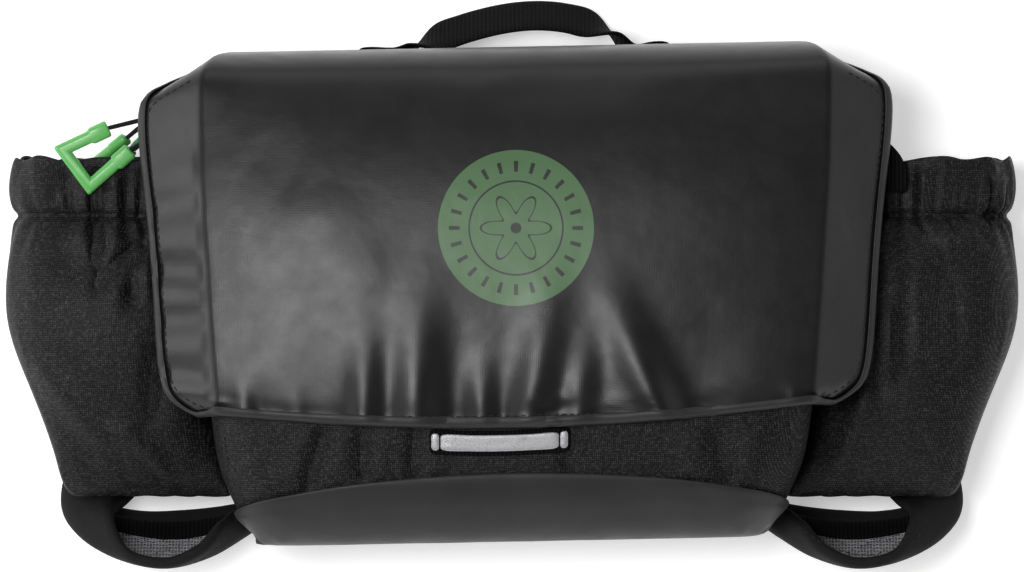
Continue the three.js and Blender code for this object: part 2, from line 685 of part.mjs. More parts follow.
// A moulded zip pull: a bar bent into a C, its two arms ending in wider blocks.
function zipPull({ first, second, corners }) {
  const [a, b] = corners;
  const up = b.clone().sub(a).cross(first.clone().sub(a)).normalize();
  const arm = (from, to) => {
    const block = pullEndLength / from.distanceTo(to);
    return [
      { point: from, width: pullEnd },
      { point: from.clone().lerp(to, block), width: pullEnd },
      { point: from.clone().lerp(to, block + pullShoulder), width: pullBar },
      { point: to, width: pullBar },
    ];
  };
  const path = [...arm(first, a), ...arm(second, b).reverse()];
  return bar(
    path.map(({ point }) => point),
    path.map(({ width }) => width),
    pullThickness,
    pullBevel,
    up,
  );
}

// A round cord along straight stretches between points, which all lie nearly level.
function cord(points, diameter) {
  const sides = 8;
  const rings = points.map((point, i) => {
    const before = points[Math.max(i - 1, 0)];
    const after = points[Math.min(i + 1, points.length - 1)];
    const along = after.clone().sub(before).normalize();
    const side = new THREE.Vector3(0, 0, 1).cross(along).normalize();
    const lift = along.clone().cross(side);
    return Array.from({ length: sides }, (_, k) => {
      const angle = (2 * Math.PI * k) / sides;
      return point
        .clone()
        .addScaledVector(side, (Math.cos(angle) * diameter) / 2)
        .addScaledVector(lift, (Math.sin(angle) * diameter) / 2);
    });
  });
  return loft(rings);
}

// A box with its faces along the axes, about a middle.
function block(size, middle) {
  const geometry = new THREE.BoxGeometry(size.x, size.y, size.z);
  return geometry.translate(middle.x, middle.y, middle.z);
}

// Zip pulls, each by the ends of its two arms, its two corners and the place where its cord meets the
// slider.
const at = (x, y, z) => new THREE.Vector3(x, y, z);
const byPocket = (out, level, up) => at(-pocketReach * out, pocketRimLevel * level, pocketDepth * up);
const sliderAt = (level, up) => {
  const [y, z] = [mouthLevel * level, bodyDepth * up];
  const ends = [y - sliderSize.y / 2, y + sliderSize.y / 2];
  const side = Math.max(...ends.map((end) => bodySideAt(-1, end)));
  return at(-side - sewnGap - sliderSize.x / 2, y, z);
};
const pulls = {
  a: {
    first: byPocket(0.797, 1.257, 0.885),
    second: byPocket(0.753, 1.083, 0.881),
    corners: [byPocket(0.885, 1.094, 0.881), byPocket(0.832, 0.811, 0.855)],
    slider: sliderAt(0.809, 0.548),
  },
  b: {
    first: byPocket(0.761, 1.181, 0.768),
    second: byPocket(0.752, 1.094, 0.581),
    corners: [byPocket(0.821, 0.992, 0.703), byPocket(0.806, 0.915, 0.508)],
    slider: sliderAt(0.876, 0.429),
  },
};

// The two strands of a pull's cord, from one arm round a bend at the slider to the other.
function cordPath({ first, second, corners, slider }) {
  const end = (arm, corner) => {
    const out = arm.clone().sub(corner).normalize();
    return arm.clone().addScaledVector(out, layerGap + cordDiameter / 4);
  };
  const reach = sliderSize.x / 2 + layerGap + cordDiameter / 2 + cordBend;
  const centre = slider.clone().add(at(-reach, 0, 0));
  const bend = [100, 50, 0, -50, -100].map((degrees) => {
    const angle = THREE.MathUtils.degToRad(degrees);
    const offset = at(Math.cos(angle), Math.sin(angle), 0.5 * Math.sin(angle));
    return centre.clone().addScaledVector(offset, cordBend);
  });
  return [end(first, corners[0]), ...bend, end(second, corners[1])];
}

// The sleeve, a short tube over the straight stretch of cord at the second arm of the lower pull.
function cordSleeve() {
  const path = cordPath(pulls.b);
  const [further, stop] = path.slice(-2);
  const along = further.clone().sub(stop).normalize();
  const from = stop.clone().addScaledVector(along, sleeveStart);
  const to = from.clone().addScaledVector(along, sleeveLength);
  const side = new THREE.Vector3(0, 0, 1).cross(along).normalize();
  const lift = along.clone().cross(side);
  const sides = 12;
  const ring = (centre, radius) =>
    Array.from({ length: sides }, (_, k) => {
      const angle = (2 * Math.PI * k) / sides;
      return centre
        .clone()
        .addScaledVector(side, radius * Math.cos(angle))
        .addScaledVector(lift, radius * Math.sin(angle));
    });
  const inner = cordDiameter / 2 + layerGap;
  const outer = inner + sleeveWall;
  return closedLoft([ring(from, inner), ring(from, outer), ring(to, outer), ring(to, inner)]);
}

// A solid through rings that lead back to the first one.
function closedLoft(rings) {
  const n = rings[0].length;
  const faces = [];
  for (let r = 0; r < rings.length; r++)
    for (let k = 0; k < n; k++) {
      const next = ((r + 1) % rings.length) * n;
      const [a, b] = [r * n + k, r * n + ((k + 1) % n)];
      const [c, d] = [next + k, next + ((k + 1) % n)];
      faces.push([a, b, c], [b, d, c]);
    }
  return solid(rings.flat(), faces);
}

// Webbing from the compartment's right side under the ear to the pocket's rim, by its middle line and
// width directions. Out, level and up: shares of the pocket's width, of its rim's Y and of its depth.
const tabStations = [
  { out: 0.016, level: 1.245, up: 0.613, across: [0, 1] },
  { out: 0.016, level: 1.245, up: 0.742, across: [0, 1] },
  { out: 0.070, level: 1.226, up: 0.823, across: [0.3, 0.95] },
  { out: 0.196, level: 1.160, up: 0.861, across: [0.55, 0.83] },
  { out: 0.291, level: 1.057, up: 0.877, across: [0.8, 0.6] },
  { out: 0.342, level: 0.943, up: 0.874, across: [0.97, 0.25] },
  { out: 0.348, level: 0.792, up: 0.852, across: [1, 0] },
];
function pocketTab() {
  const stations = tabStations.map(({ out, level, up, across: [u, v] }) => ({
    middle: at(halfBody + pocketWidth * out, pocketRimLevel * level, pocketDepth * up),
    across: at(u, v, 0).normalize(),
  }));
  return strip(stations, tabWidth, strapThickness);
}

// A point of a wing's middle surface: place from root to tip, across from the edge at the floor to the
// rim.
function wingPoint(place, across, side) {
  const guide = (name) => {
    const [out, down, up] = [0, 1, 2].map((k) =>
      column(wingGuides.map((row) => ({ share: row[name][k] })), "share", place),
    );
    return at(wingReach * out, -wingDrop * down, wingHeight * up);
  };
  const bulge = guide("middle").multiplyScalar(4 * across * (1 - across));
  const p = guide("edge").multiplyScalar((1 - across) * (1 - 2 * across));
  p.add(bulge).addScaledVector(guide("rim"), across * (2 * across - 1));
  return p.setX(side * p.x);
}

const wingPlaces = between(0, 1, wingRows);
const wingCrosses = between(0, 1, wingColumns);

// The wing's surface moved along its normal by a lift, which depends on row and column.
function wingGrid(side, places, crosses, lift) {
  const step = 0.004;
  return places.map((place, i) =>
    crosses.map((across, j) => {
      const back = Math.max(place - step, 0);
      const low = Math.max(across - step, 0);
      const along = wingPoint(back + step, across, side).sub(wingPoint(back, across, side));
      const over = wingPoint(place, low + step, side).sub(wingPoint(place, low, side));
      const normal = along.cross(over).normalize();
      return wingPoint(place, across, side).addScaledVector(normal, side * lift(i, j));
    }),
  );
}

// A layer of a wing: places and crosses with the lifts of its two faces.
function wingLayer(side, places, crosses, from, to) {
  const lower = wingGrid(side, places, crosses, from);
  const upper = wingGrid(side, places, crosses, to);
  return slab(upper, lower);
}

// A wing's padded cloth with its bound edges.
function wing(side) {
  const isEdge = (i, j) => j === 0 || j === wingCrosses.length - 1 || i === wingPlaces.length - 1;
  const half = (i, j) => (wingThickness + (isEdge(i, j) ? wingBead : 0)) / 2;
  return wingLayer(side, wingPlaces, wingCrosses, (i, j) => -half(i, j), half);
}

// The mesh on a wing's inner face, and the webbing over the mesh.
const linerBelow = wingThickness / 2 + layerGap;
const linerTop = linerBelow + linerThickness;
const wingStrapBelow = linerTop + layerGap;
const wingStrapTop = wingStrapBelow + strapThickness;
const linerPlaces = wingPlaces.slice(8, -2);
const linerCrosses = wingCrosses.slice(1, -1);
const wingLiner = (side) =>
  wingLayer(side, linerPlaces, linerCrosses, () => linerBelow, () => linerTop);
const wingStrapPlaces = wingPlaces.slice(11, -3);
const wingStrapCrosses = wingCrosses.slice(1, -5);
const wingStrap = (side) =>
  wingLayer(side, wingStrapPlaces, wingStrapCrosses, () => wingStrapBelow, () => wingStrapTop);

// The belt from a wing's tip to the buckle, under the overhang of the base.
function beltStrap(side) {
  const lean = THREE.MathUtils.degToRad(strapLean);
  const shares = between(0, 1, 4);
  const onTip = (place, share) => wingPoint(place, beltInset + (1 - 2 * beltInset) * share, side);
  const tip = shares.map((share) => {
    const end = onTip(1, share);
    const out = end.clone().sub(onTip(1 - 0.02, share)).normalize();
    return end.addScaledVector(out, beltGap);
  });
  const end = shares.map((share) =>
    at(
      side * (buckleLength / 2 + layerGap),
      buckleCentre[0] - (share - 0.5) * strapWidth * Math.cos(lean),
      buckleCentre[1] + (share - 0.5) * strapWidth * Math.sin(lean),
    ),
  );
  const rows = between(0, 1, 9).map((t) => tip.map((p, k) => p.clone().lerp(end[k], t)));
  return sheet(rows, strapThickness);
}

// The buckle, one plain rounded piece that leans with the belt.
function buckle() {
  const ring = (z, inset) =>
    roundedRing(
      buckleLength / 2 - inset,
      inset - buckleHeight / 2,
      buckleHeight / 2 - inset,
      buckleCorner - inset,
      z,
      4,
    );
  const half = buckleThickness / 2;
  const geometry = loft([
    ring(-half, buckleBevel),
    ring(buckleBevel - half, 0),
    ring(half - buckleBevel, 0),
    ring(half, buckleBevel),
  ]);
  geometry.rotateX(THREE.MathUtils.degToRad(180 - strapLean));
  return geometry.translate(0, ...buckleCentre);
}

const cloth = (color, roughness) => new THREE.MeshStandardMaterial({ color, roughness, metalness: 0 });
const materials = {
  coated_cloth: cloth("#2b2c2e", 0.55),
  ripstop: cloth("#2e2f31", 0.85),
  back_mesh: cloth("#1f2022", 0.95),
  wing_cloth: cloth("#1d1e1f", 0.9),
  binding_tape: cloth("#1b1c1d", 0.8),
  webbing: cloth("#161617", 0.85),
  liner_mesh: cloth("#c9cbcc", 0.95),
  green_plastic: cloth("#68c060", 0.4),
  green_cord: cloth("#2f6f46", 0.7),
  reflective: cloth("#c4c6c8", 0.35),
  black_plastic: cloth("#141415", 0.45),
};
for (const [name, material] of Object.entries(materials)) material.name = name;

const group = new THREE.Group();
group.name = "bum_bag";
function addPiece(name, geometry, material) {
  const mesh = new THREE.Mesh(geometry, materials[material]);
  mesh.name = name;
  group.add(mesh);
}

addPiece("body_shell", compartment(), "ripstop");
addPiece("back_panel", backPanel(), "back_mesh");
addPiece("base_panel", basePanel(), "coated_cloth");
addPiece("flap", sheet(flapGrid, flapThickness), "coated_cloth");
addPiece("flap_binding", flapBinding(), "binding_tape");
addPiece("handle", handle(), "webbing");
const loopCloth = loopGrid(loopStart, loopEnd, lightLoopHeight, loopLift);
addPiece("light_loop", sheet(loopCloth, lightLoopThickness), "webbing");
const tackedEnd = stripeEnd + stripeTack;
addPiece("reflective_stripe", stripe(loopStart + tackedEnd, loopEnd - tackedEnd), "reflective");
addPiece("stripe_end_left", stripe(loopStart, loopStart + stripeEnd), "reflective");
addPiece("stripe_end_right", stripe(loopEnd - stripeEnd, loopEnd), "reflective");

for (const [name, pull] of Object.entries(pulls)) {
  addPiece(`zip_slider_${name}`, block(sliderSize, pull.slider), "black_plastic");
  addPiece(`zip_pull_${name}`, zipPull(pull), "green_plastic");
  addPiece(`zip_cord_${name}`, cord(cordPath(pull), cordDiameter), "green_cord");
}
addPiece("cord_sleeve", cordSleeve(), "green_cord");

for (const [name, side] of [
  ["left", -1],
  ["right", 1],
]) {
  addPiece(`pocket_${name}`, pocket(side), "ripstop");
  addPiece(`wing_${name}`, wing(side), "wing_cloth");
  addPiece(`wing_liner_${name}`, wingLiner(side), "liner_mesh");
  addPiece(`wing_strap_${name}`, wingStrap(side), "webbing");
  addPiece(`belt_strap_${name}`, beltStrap(side), "webbing");
}
addPiece("buckle", buckle(), "black_plastic");
addPiece("pocket_tab", pocketTab(), "webbing");

const box = new THREE.Box3().setFromObject(group);
const middle = box.getCenter(new THREE.Vector3());
for (const mesh of group.children) mesh.geometry.translate(-middle.x, -middle.y, -box.min.z);

export default group;
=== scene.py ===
"""A cyclist's bum bag on its back, seen from straight above. Metres, in the frame of the solids."""

import math

import bmesh
import bpy
import numpy as np
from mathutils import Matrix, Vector
from mathutils.bvhtree import BVHTree


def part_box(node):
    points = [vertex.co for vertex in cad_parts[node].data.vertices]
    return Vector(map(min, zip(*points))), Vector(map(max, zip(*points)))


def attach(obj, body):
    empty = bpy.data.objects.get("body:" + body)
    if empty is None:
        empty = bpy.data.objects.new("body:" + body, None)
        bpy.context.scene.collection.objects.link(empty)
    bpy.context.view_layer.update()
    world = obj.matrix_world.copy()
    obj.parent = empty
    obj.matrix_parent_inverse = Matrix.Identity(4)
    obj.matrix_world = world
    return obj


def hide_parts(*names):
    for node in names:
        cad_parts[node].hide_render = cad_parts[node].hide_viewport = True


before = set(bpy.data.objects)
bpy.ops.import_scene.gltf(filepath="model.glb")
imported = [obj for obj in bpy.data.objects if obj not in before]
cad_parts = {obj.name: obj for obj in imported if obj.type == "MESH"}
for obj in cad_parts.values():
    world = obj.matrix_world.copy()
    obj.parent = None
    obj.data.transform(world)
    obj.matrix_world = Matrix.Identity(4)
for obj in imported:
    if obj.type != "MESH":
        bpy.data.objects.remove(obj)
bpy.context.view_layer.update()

MM = 0.001
PIXEL = 0.41 * MM  # one pixel of the photograph on the bag
ORIGIN = (512, 284.4)  # the pixel over the middle of the bag


def place(px, py):
    """X and Y on the bag for a pixel of the photograph."""
    return (px - ORIGIN[0]) * PIXEL, (ORIGIN[1] - py) * PIXEL


# Materials


class Nodes:
    """A material under construction: adds nodes and links in one line each."""

    def __init__(self, name, **shader):
        self.material = bpy.data.materials.new(name)
        self.material.use_nodes = True
        self.tree = self.material.node_tree
        self.shader = self.tree.nodes["Principled BSDF"]
        for socket, value in shader.items():
            self.shader.inputs[socket.replace("_", " ")].default_value = value
        self.coordinates = self.add("ShaderNodeTexCoord").outputs["Object"]

    def add(self, kind, inputs=None, **options):
        node = self.tree.nodes.new(kind)
        for key, value in options.items():
            setattr(node, key, value)
        for key, value in (inputs or {}).items():
            socket = node.inputs[key]
            if isinstance(value, bpy.types.NodeSocket):
                self.tree.links.new(value, socket)
            else:
                socket.default_value = value
        return node

    def math(self, operation, *values):
        inputs = dict(enumerate(values))
        return self.add("ShaderNodeMath", inputs, operation=operation).outputs[0]

    def largest(self, first, *others):
        for other in others:
            first = self.math("MAXIMUM", first, other)
        return first

    def noise(self, size, detail=2.0, stretch=(1, 1, 1), shift=(0, 0, 0)):
        """Noise from 0 to 1 with lumps of a size in metres."""
        scale = [s / size for s in stretch]
        mapping = {"Vector": self.coordinates, "Scale": scale, "Location": shift}
        mapped = self.add("ShaderNodeMapping", mapping).outputs[0]
        settings = {"Vector": mapped, "Scale": 1.0, "Detail": detail}
        return self.add("ShaderNodeTexNoise", settings).outputs["Fac"]

    def axis(self, index):
        split = self.add("ShaderNodeSeparateXYZ", {"Vector": self.coordinates})
        return split.outputs[index]

    def wave(self, value, period):
        """A sine from 0 to 1 along a value in metres."""
        turned = self.math("MULTIPLY", value, 2 * math.pi / period)
        return self.math("MULTIPLY_ADD", self.math("SINE", turned), 0.5, 0.5)

    def ramp(self, value, *stops):
        """A colour ramp from stops of place and grey or colour."""
        node = self.add("ShaderNodeValToRGB", {"Fac": value})
        ramp = node.color_ramp
        while len(ramp.elements) < len(stops):
            ramp.elements.new(0.5)
        for element, (at, colour) in zip(ramp.elements, stops):
            element.position = at
            element.color = colour if isinstance(colour, tuple) else (colour, colour, colour, 1)
        return node.outputs["Color"]

    def mix(self, factor, a, b):
        node = self.add("ShaderNodeMix", {"Factor": factor}, data_type="RGBA")
        for socket, value in ((node.inputs[6], a), (node.inputs[7], b)):
            if isinstance(value, bpy.types.NodeSocket):
                self.tree.links.new(value, socket)
            else:
                socket.default_value = value
        return node.outputs[2]

    def set(self, socket, value):
        """Links a value that varies to a socket of the shader."""
        self.tree.links.new(value, self.shader.inputs[socket])

    def bump(self, *layers):
        """Bumps from pairs of height and depth in metres."""
        normal = None
        for height, depth in layers:
            inputs = {"Height": height, "Distance": depth, "Strength": 1.0}
            if normal:
                inputs["Normal"] = normal
            normal = self.add("ShaderNodeBump", inputs).outputs["Normal"]
        self.set("Normal", normal)
        return self.material


def grey(value):
    """A grey with a trace of blue."""
    return (value, value, value * 1.04, 1)


DISC = place(516, 228)  # middle of the printed patch on the flap
DISC_RADIUS = 32 * MM
DISC_GREEN = (0.055, 0.112, 0.050, 1)
# The patch's motif, in shares of its radius: a place and half a width for each line.
RING = (0.60, 0.012)
TICKS = (0.79, 0.07)
TICK_COUNT = 24.0
TICK_GAP = 0.72  # a tick shows where its cosine is above this
PETAL_LINE = (0.32, 0.016)
PETAL_COUNT = 6.0
PETAL_SWING = 0.13
HUB = 0.07


def printed_motif(n, radius, turn):
    """Marks of the printed patch: a ring, ticks round it, and a flower with a hub."""
    ring = n.math("COMPARE", radius, *RING)
    tick = n.math("COSINE", n.math("MULTIPLY", turn, TICK_COUNT))
    ticks = n.math("GREATER_THAN", tick, TICK_GAP)
    ticks = n.math("MULTIPLY", ticks, n.math("COMPARE", radius, *TICKS))
    petals = n.math("COSINE", n.math("MULTIPLY", turn, PETAL_COUNT))
    middle, half_width = PETAL_LINE
    line = n.math("MULTIPLY_ADD", petals, PETAL_SWING, middle)
    flower = n.math("COMPARE", radius, line, half_width)
    return n.largest(ring, ticks, flower, n.math("LESS_THAN", radius, HUB))


def coated_cloth(name, base, rough, shine, print_disc=False):
    """Coated cloth: a fine weave under a satin coat, and on the flap a round printed patch."""
    n = Nodes(name, Specular_IOR_Level=shine)
    weave = n.math("MULTIPLY", n.wave(n.axis(0), 0.7 * MM), n.wave(n.axis(1), 0.7 * MM))
    cloudy = n.noise(0.03, 3)
    fine = n.noise(0.0006, 1)
    colour = n.ramp(cloudy, (0.3, grey(base * 0.86)), (0.7, grey(base * 1.15)))
    gloss = n.ramp(n.noise(0.012, 4, shift=(0.3, 0, 0)), (0.3, rough * 0.92), (0.7, rough * 1.1))
    layers = [(cloudy, 0.5 * MM), (weave, 0.012 * MM), (fine, 0.02 * MM)]
    if print_disc:
        dx = n.math("SUBTRACT", n.axis(0), DISC[0])
        dy = n.math("SUBTRACT", n.axis(1), DISC[1])
        squares = n.math("ADD", n.math("MULTIPLY", dx, dx), n.math("MULTIPLY", dy, dy))
        radius = n.math("DIVIDE", n.math("SQRT", squares), DISC_RADIUS)
        marks = printed_motif(n, radius, n.math("ARCTAN2", dy, dx))
        disc = n.math("LESS_THAN", radius, 1.0)
        green = n.mix(n.math("MULTIPLY", marks, 0.92), DISC_GREEN, grey(base * 1.3))
        colour = n.mix(disc, colour, green)
        layers.append((disc, 0.08 * MM))
    n.set("Base Color", colour)
    n.set("Roughness", gloss)
    return n.bump(*layers)


def ripstop(name, base, shine, thread=0.8 * MM):
    """Fine ripstop: a dark weave whose threads glint where they face the light, with light specks in
    its colour that are partly the weave's pattern and partly painted glints.
    """
    n = Nodes(name, Specular_IOR_Level=shine)
    slanted = n.math("ADD", n.axis(0), n.math("MULTIPLY", n.axis(2), 0.6))
    weave = n.math("MULTIPLY", n.wave(slanted, thread), n.wave(n.axis(1), thread))
    warp = n.noise(thread, 2, stretch=(1.0, 0.55, 1.0))
    weft = n.noise(thread, 2, stretch=(0.5, 1.1, 0.5), shift=(0.4, 0, 0))
    specks = n.math("MULTIPLY", n.largest(warp, weft), n.math("MULTIPLY_ADD", weave, 0.4, 0.8))
    # the brightest grey is partly the weave's lighter specks and partly painted glints of the
    # threads
    speck_and_glint_greys = (0.40, grey(base * 0.3)), (0.54, grey(base * 0.85)), (0.69, grey(base * 5.0))
    n.set("Base Color", n.ramp(specks, *speck_and_glint_greys))
    n.set("Roughness", n.ramp(specks, (0.45, 0.56), (0.65, 0.44)))
    return n.bump((specks, 0.22 * MM), (n.noise(0.006, 3), 0.5 * MM))


def webbing(name, base):
    """Ribbed webbing: rounded ribs side by side along X, with fine threads across them."""
    n = Nodes(name, Specular_IOR_Level=0.03)
    ribs = n.wave(n.axis(0), 1.7 * MM)
    threads = n.wave(n.axis(1), 0.55 * MM)
    specks = n.noise(0.0008, 2)
    # lighter specks on the ribs' crests, darker grey in the grooves between the ribs
    crest_specks = n.math("MULTIPLY", ribs, specks)
    n.set("Base Color", n.ramp(crest_specks, (0.1, grey(base * 0.6)), (0.6, grey(base * 1.9))))
    n.set("Roughness", n.ramp(specks, (0.3, 0.62), (0.7, 0.85)))
    return n.bump((ribs, 0.22 * MM), (threads, 0.06 * MM))


def plain_cloth(name, base, size=0.8 * MM):
    """Matt woven cloth or thread, with fuzz of a size."""
    n = Nodes(name, Specular_IOR_Level=0.12)
    fuzz = n.noise(size, 3)
    n.set("Base Color", n.ramp(fuzz, (0.3, grey(base * 0.6)), (0.75, grey(base * 1.8))))
    n.set("Roughness", n.ramp(fuzz, (0.3, 0.7), (0.7, 0.92)))
    return n.bump((fuzz, 0.12 * MM), (n.noise(0.005, 2), 0.3 * MM))


def open_mesh(name, light, dark, cell=1.3 * MM):
    """Knitted mesh: light threads round dark holes."""
    n = Nodes(name, Specular_IOR_Level=0.3)
    settings = {"Vector": n.coordinates, "Scale": 1 / cell, "Randomness": 0.3}
    holes = n.add("ShaderNodeTexVoronoi", settings, feature="DISTANCE_TO_EDGE").outputs["Distance"]
    soiled = n.ramp(n.noise(0.01, 3), (0.3, grey(light * 0.75)), (0.7, grey(light)))
    n.set("Base Color", n.mix(n.ramp(holes, (0.07, 0.0), (0.16, 1.0)), soiled, grey(dark)))
    n.set("Roughness", n.ramp(holes, (0.1, 0.75), (0.3, 0.95)))
    return n.bump((n.math("SUBTRACT", 1.0, holes), 0.3 * MM))


def moulded(name, colour, rough, coat=0.0):
    """Moulded plastic: satin, a little mottled, with a fine grain."""
    n = Nodes(name, Coat_Weight=coat, Coat_Roughness=0.25, Specular_IOR_Level=0.5)
    mottle = n.noise(0.006, 3)
    dim = tuple(c * 0.86 for c in colour[:3]) + (1,)
    n.set("Base Color", n.ramp(mottle, (0.3, dim), (0.7, colour)))
    n.set("Roughness", n.ramp(n.noise(0.0015, 2), (0.3, rough * 0.85), (0.7, rough * 1.15)))
    return n.bump((n.noise(0.0005, 2), 0.02 * MM), (mottle, 0.06 * MM))


def reflective_film(name):
    """Silver film with a fine honeycomb."""
    n = Nodes(name, Metallic=0.25, Specular_IOR_Level=0.6)
    settings = {"Vector": n.coordinates, "Scale": 900.0}
    cells = n.add("ShaderNodeTexVoronoi", settings, feature="DISTANCE_TO_EDGE").outputs["Distance"]
    edge = n.ramp(cells, (0.02, 0.35), (0.1, 1.0))
    n.set("Base Color", n.mix(edge, grey(0.19), grey(0.30)))
    n.set("Roughness", n.ramp(n.noise(0.004, 3), (0.3, 0.3), (0.7, 0.45)))
    return n.bump((edge, 0.03 * MM), (n.noise(0.008, 2), 0.2 * MM))


# Numbers after a name: base grey, then roughness and shine of coated cloth, or shine of ripstop.
MATERIALS = {
    "flap": coated_cloth("flap_cloth", 0.008, 0.34, 0.25, print_disc=True),
    "base": coated_cloth("base_cloth", 0.014, 0.5, 0.22),
    "edge": coated_cloth("edge_tape", 0.012, 0.5, 0.3),
    "ripstop": ripstop("body_ripstop", 0.0075, 0.12),
    "pocket": ripstop("pocket_ripstop", 0.0065, 0.16, 0.9 * MM),
    "webbing": webbing("webbing", 0.0035),
    "wing": plain_cloth("wing_cloth", 0.007),
    "back": open_mesh("back_mesh", 0.03, 0.004, 2.4 * MM),
    "liner": open_mesh("liner_mesh", 0.42, 0.015),
    "thread": plain_cloth("thread", 0.02, 0.5 * MM),
    "green": moulded("green_plastic", (0.085, 0.36, 0.078, 1), 0.38, coat=0.15),
    "cord": plain_cloth("green_cord", 0.010, 0.6 * MM),
    # a darker copy of the green plastic: painted shade, for the flap's shadow over the sleeve
    "shaded_sleeve": moulded("cord_sleeve", (0.03, 0.16, 0.05, 1), 0.5),
    "film": reflective_film("reflective_film"),
    "black": moulded("black_plastic", (0.012, 0.012, 0.013, 1), 0.45),
}


# Making and folding pieces


def finish_piece(obj, material, slot, *nodes):
    """Gives a piece its look and its body, and hides the nodes that it stands for. Its slot is not
    used.
    """
    obj.data.materials.clear()
    obj.data.materials.append(MATERIALS[material])
    for polygon in obj.data.polygons:
        polygon.use_smooth = True
    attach(obj, "root")
    if nodes:
        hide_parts(*nodes)


def new_object(name, mesh):
    obj = bpy.data.objects.new(name, mesh)
    bpy.context.scene.collection.objects.link(obj)
    return obj


def object_from(bm, name):
    mesh = bpy.data.meshes.new(name)
    bm.to_mesh(mesh)
    bm.free()
    return new_object(name, mesh)


def evaluated(obj):
    """A new mesh of an object with its modifiers applied."""
    depsgraph = bpy.context.evaluated_depsgraph_get()
    depsgraph.update()
    return bpy.data.meshes.new_from_object(obj.evaluated_get(depsgraph))


def vectors_of(mesh, attribute="co"):
    """Points or normals of a mesh's vertices, one row each."""
    values = np.empty(len(mesh.vertices) * 3)
    mesh.vertices.foreach_get(attribute, values)
    return values.reshape(-1, 3)


def move_to(obj, points):
    obj.data.vertices.foreach_set("co", points.ravel())
    obj.data.update()


WELD = 0.01 * MM  # corners of a solid that are closer than this are one
FITTING_ROUNDS = 4
FITTING_STEP = 0.9  # share of the distance still missing that each round makes up
CREASE_ANGLES = (16, 60)  # degrees between two facets at a fold in the cloth
CREASE_LEAN = 0.5  # a fold leans by no more than this share of its length
CREASE_SHARPNESS = 0.75
SHARP_ANGLE = 20  # degrees from which an edge of a moulded piece is rounded


def quads_of(node):
    """The solid of a node as a bmesh, its triangles joined into quads."""
    bm = bmesh.new()
    bm.from_mesh(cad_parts[node].data)
    bmesh.ops.remove_doubles(bm, verts=bm.verts, dist=WELD)
    bmesh.ops.join_triangles(
        bm,
        faces=bm.faces,
        angle_face_threshold=math.radians(60),
        angle_shape_threshold=math.radians(180),
    )
    bmesh.ops.recalc_face_normals(bm, faces=bm.faces)
    return bm


def is_crease(edge):
    """True for a fold in the cloth that runs up and down the bag."""
    if len(edge.link_faces) != 2:
        return False
    along = edge.verts[1].co - edge.verts[0].co
    lowest, highest = CREASE_ANGLES
    folded = lowest < math.degrees(edge.calc_face_angle()) < highest
    return folded and abs(along.x) < CREASE_LEAN * along.length


def softened(node, name, levels, creased=False):
    """The solid of a node as a dense smooth mesh through its corners, its folds kept if creased."""
    bm = quads_of(node)
    if creased:
        weight = bm.edges.layers.float.new("crease_edge")
        for edge in bm.edges:
            if is_crease(edge):
                edge[weight] = CREASE_SHARPNESS
    obj = object_from(bm, name)
    modifier = obj.modifiers.new("smooth", "SUBSURF")
    modifier.levels = 1
    corners = vectors_of(obj.data)
    cage = corners.copy()
    for _ in range(FITTING_ROUNDS):
        smooth = evaluated(obj)
        cage -= (vectors_of(smooth)[: len(corners)] - corners) * FITTING_STEP
        bpy.data.meshes.remove(smooth)
        move_to(obj, cage)
    modifier.levels = levels
    obj.data = evaluated(obj)
    obj.modifiers.clear()
    return obj


def moulding(node, name, radius):
    """The solid of a node with rounded edges, for a moulded piece."""
    bm = quads_of(node)
    sharp = [edge for edge in bm.edges if edge.calc_face_angle(0) > math.radians(SHARP_ANGLE)]
    rounding = dict(offset=radius, segments=3, profile=0.5, affect="EDGES", clamp_overlap=True)
    bmesh.ops.bevel(bm, geom=sharp, **rounding)
    return object_from(bm, name)


def step(a, b, x):
    """Smooth step from 0 at a to 1 at b."""
    t = np.clip((x - a) / (b - a), 0, 1)
    return t * t * (3 - 2 * t)


def ridges(x, y, table, to_edge=False):
    """Height at X and Y of the soft folds in a table.

    With to_edge a fold grows all the way from its start to its end, as gathers do towards a hem.
    """
    total = np.zeros_like(x)
    for start, end, width, height in table:
        (ax, ay), (bx, by) = place(*start), place(*end)
        length = math.hypot(bx - ax, by - ay)
        ux, uy = (bx - ax) / length, (by - ay) / length
        along = ((x - ax) * ux + (y - ay) * uy) / length
        spread = 1.25 - 0.45 * np.clip(along, 0, 1) if to_edge else 1.0
        off = ((x - ax) * -uy + (y - ay) * ux) / (width * MM * spread)
        if to_edge:
            ends = step(-0.1, 0.95, along) * (1 - step(1.1, 1.5, along))
        else:
            ends = step(-0.15, 0.25, along) * (1 - step(0.75, 1.15, along))
        total += height * MM * np.exp(-off * off) * ends
    return total


FACING = (0.05, 0.6)  # Z of a normal, from which folds show and where they show in full


def fold(obj, heights, fade=None):
    """Lifts an object's front by heights at its points, and not at all where it faces down.

    Folds fade in between two heights over the floor, if they are given.
    """
    points = vectors_of(obj.data)
    lift = heights(points)
    if fade:
        lift = lift * step(*fade, points[:, 2])
    facing = step(*FACING, vectors_of(obj.data, "normal")[:, 2])
    points[:, 2] += lift * facing
    move_to(obj, points)


ABOVE_BAG = 0.3


def surface_under(*objs):
    """A function that finds the highest point and normal of some objects at X and Y."""
    trees = []
    for obj in objs:
        corners = [vertex.co for vertex in obj.data.vertices]
        faces = [polygon.vertices for polygon in obj.data.polygons]
        trees.append(BVHTree.FromPolygons(corners, faces))

    def find(x, y):
        hits = [tree.ray_cast(Vector((x, y, ABOVE_BAG)), Vector((0, 0, -1))) for tree in trees]
        hits = [hit for hit in hits if hit[0] is not None]
        if not hits:
            return None, None
        hit = max(hits, key=lambda h: h[0].z)
        return hit[0], hit[1]

    return find


